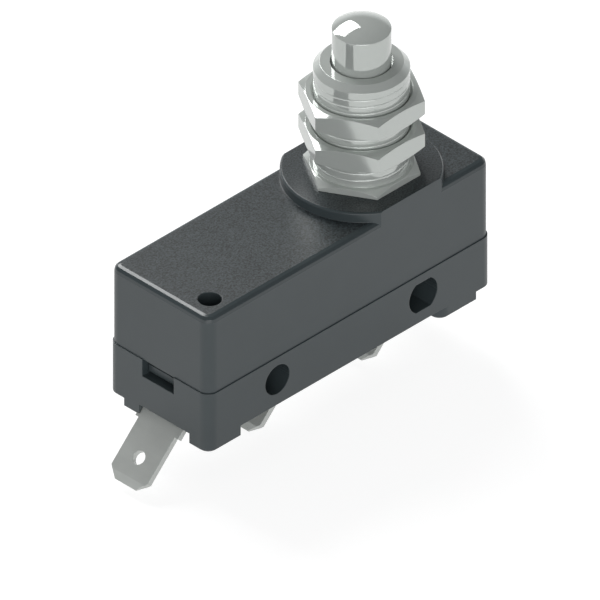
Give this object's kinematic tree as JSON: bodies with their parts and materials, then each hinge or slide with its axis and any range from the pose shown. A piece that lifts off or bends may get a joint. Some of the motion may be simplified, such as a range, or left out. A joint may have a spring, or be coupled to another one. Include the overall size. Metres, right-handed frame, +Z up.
{
  "type": "plunger micro switch",
  "caption": "Snap-action switch in a two-part moulded case, with a threaded panel bushing, jam nuts, a domed metal plunger on top and slanted blade tabs underneath.",
  "frame": {"origin": "centre of the round mounting hole, at the middle of the case's width", "axes": "+X along the case towards the plunger, +Y across the case along the mounting hole, +Z up towards the plunger's tip"},
  "size_m": [0.0553, 0.0176, 0.0504],
  "materials": {
    "case_plastic": "dark grey moulded plastic, fine grain",
    "nickel_brass": "bright nickel plating on brass",
    "polished_steel": "polished stainless steel",
    "spring_steel": "drawn spring steel",
    "plated_strip": "tin-plated brass strip",
    "plain_brass": "plain stamped brass",
    "arm_bronze": "rolled spring bronze",
    "contact_silver": "silver contact face",
    "pin_plastic": "ivory moulded plastic"
  },
  "bodies": {
    "case": {"base": "case_plastic", "cover": "case_plastic", "bushing": "nickel_brass", "pin_guide": "plain_brass", "bushing_clip": "spring_steel", "return_spring": "spring_steel", "overtravel_spring": "spring_steel", "closed_terminal": "plated_strip", "open_terminal": "plated_strip", "common_terminal": "plated_strip", "closed_contact": "contact_silver", "open_contact": "contact_silver", "arm_bracket": "plain_brass", "bracket_rivet": "plain_brass"},
    "plunger": {"plunger": "polished_steel", "plunger_stop_ring": "spring_steel"},
    "push_pin": {"push_pin": "pin_plastic"},
    "moving_arm": {"moving_arm": "arm_bronze", "moving_contact": "contact_silver"},
    "bow_spring": {"bow_spring": "spring_steel"},
    "lower_nut": {"lower_nut": "nickel_brass"},
    "upper_nut": {"upper_nut": "nickel_brass"}
  },
  "joints": [
    {"name": "plunger_travel", "type": "slide", "parent": "case", "child": "plunger", "axis": [0, 0, -1], "range_m": [0, 0.0055], "stiffness_N_per_m": 700, "springref_m": -0.003, "deforming": ["return_spring", "overtravel_spring"]},
    {"name": "pin_travel", "type": "slide", "parent": "case", "child": "push_pin", "axis": [0, 0, -1], "range_m": [0, 0.0004]},
    {"name": "arm_swing", "type": "hinge", "parent": "case", "child": "moving_arm", "pos_m": [0.03261, 0, 0.0063], "axis": [0, -1, 0], "range_deg": [0, 2.5]},
    {"name": "bow_swing", "type": "hinge", "parent": "case", "child": "bow_spring", "pos_m": [0.01932, 0, 0.0056], "axis": [0, -1, 0], "range_deg": [0, 5.76]},
    {"name": "lower_nut_travel", "type": "slide", "parent": "case", "child": "lower_nut", "axis": [0, 0, 1], "range_m": [-0.003, 0.001]},
    {"name": "upper_nut_travel", "type": "slide", "parent": "case", "child": "upper_nut", "axis": [0, 0, 1], "range_m": [-0.001, 0.0034]}
  ],
  "couplings": [
    {"joint": "pin_travel", "follows": "plunger_travel", "ratio": 0.072727},
    {"joint": "arm_swing", "follows": "plunger_travel", "rad_per_m": 7.9002},
    {"joint": "bow_swing", "follows": "plunger_travel", "rad_per_m": 18.266}
  ]
}
